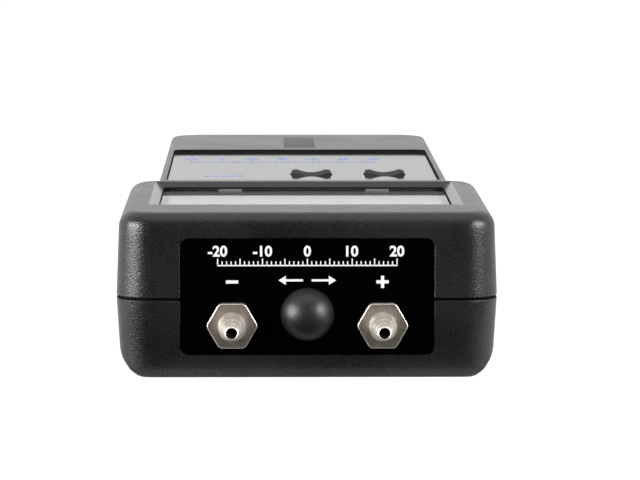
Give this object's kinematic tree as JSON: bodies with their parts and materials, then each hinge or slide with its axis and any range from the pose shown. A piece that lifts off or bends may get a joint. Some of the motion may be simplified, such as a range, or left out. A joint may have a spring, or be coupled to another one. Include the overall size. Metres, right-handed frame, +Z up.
{
  "type": "digital manometer",
  "caption": "Handheld pressure meter with two barbed hose ports, a capped data jack, a recessed display window and push buttons in a two-part plastic case.",
  "frame": {"origin": "centre of the underside, on the face it rests on", "axes": "+Y along the length, away from the hose ports; +Z up, out of the display; +X across, to the right when the ports face the viewer"},
  "size_m": [0.072, 0.1927, 0.0312],
  "materials": {
    "case_plastic": "fine-grained moulded ABS",
    "panel_plastic": "moulded ABS",
    "black_label": "gloss printed film",
    "grey_label": "dark glossy printed film",
    "clear_window": "clear polished acrylic",
    "foam": "closed-cell foam",
    "frame_plastic": "moulded plastic",
    "display_glass": "reflective display glass",
    "contact_rubber": "silicone rubber",
    "board": "solder-masked laminate",
    "chip": "moulded epoxy",
    "part_metal": "plain aluminium",
    "button_rubber": "smooth satin rubber",
    "switch_plastic": "moulded plastic",
    "plunger_plastic": "moulded plastic",
    "nickel": "bright nickel plate",
    "seal_rubber": "nitrile rubber",
    "sensor_plastic": "moulded plastic",
    "tube_silicone": "translucent silicone",
    "wire_plastic": "insulated wire",
    "cap_rubber": "soft matt rubber",
    "battery_skin": "printed metal jacket",
    "screw_steel": "zinc-plated steel"
  },
  "bodies": {
    "case": {"top_case": "case_plastic", "bottom_case": "case_plastic", "port_panel": "panel_plastic", "port_label": "black_label", "keypad_label": "grey_label", "display_window": "clear_window", "window_gasket": "foam", "lcd_frame": "frame_plastic", "lcd_glass": "display_glass", "contact_strips": "contact_rubber", "main_board": "board", "controller_chip": "chip", "amplifier_chip": "chip", "board_parts": "part_metal", "power_switch": "switch_plastic", "hold_switch": "switch_plastic", "port_fitting_1": "nickel", "port_fitting_2": "nickel", "port_seals": "seal_rubber", "port_nuts": "nickel", "pressure_sensor": "sensor_plastic", "sensor_tube_1": "tube_silicone", "sensor_tube_2": "tube_silicone", "data_jack": "switch_plastic", "data_jack_nut": "nickel", "data_wires": "wire_plastic", "battery": "battery_skin", "battery_snap": "switch_plastic", "battery_wires": "wire_plastic", "case_screws": "screw_steel", "board_screws": "screw_steel"},
    "power_button": {"power_button": "button_rubber", "power_plunger": "plunger_plastic"},
    "hold_button": {"hold_button": "button_rubber", "hold_plunger": "plunger_plastic"},
    "battery_door": {"battery_door": "case_plastic"},
    "jack_cap": {"jack_cap": "cap_rubber"}
  },
  "joints": [
    {"name": "power_button_press", "type": "slide", "parent": "case", "child": "power_button", "axis": [0, 0, -1], "range_m": [0, 0.0006], "stiffness_N_per_m": 2500},
    {"name": "hold_button_press", "type": "slide", "parent": "case", "child": "hold_button", "axis": [0, 0, -1], "range_m": [0, 0.0006], "stiffness_N_per_m": 2500},
    {"name": "battery_door_slide", "type": "slide", "parent": "case", "child": "battery_door", "axis": [0, 1, 0], "range_m": [0, 0.058]},
    {"name": "jack_cap_pull", "type": "slide", "parent": "case", "child": "jack_cap", "axis": [0, -1, 0], "range_m": [0, 0.016]}
  ]
}
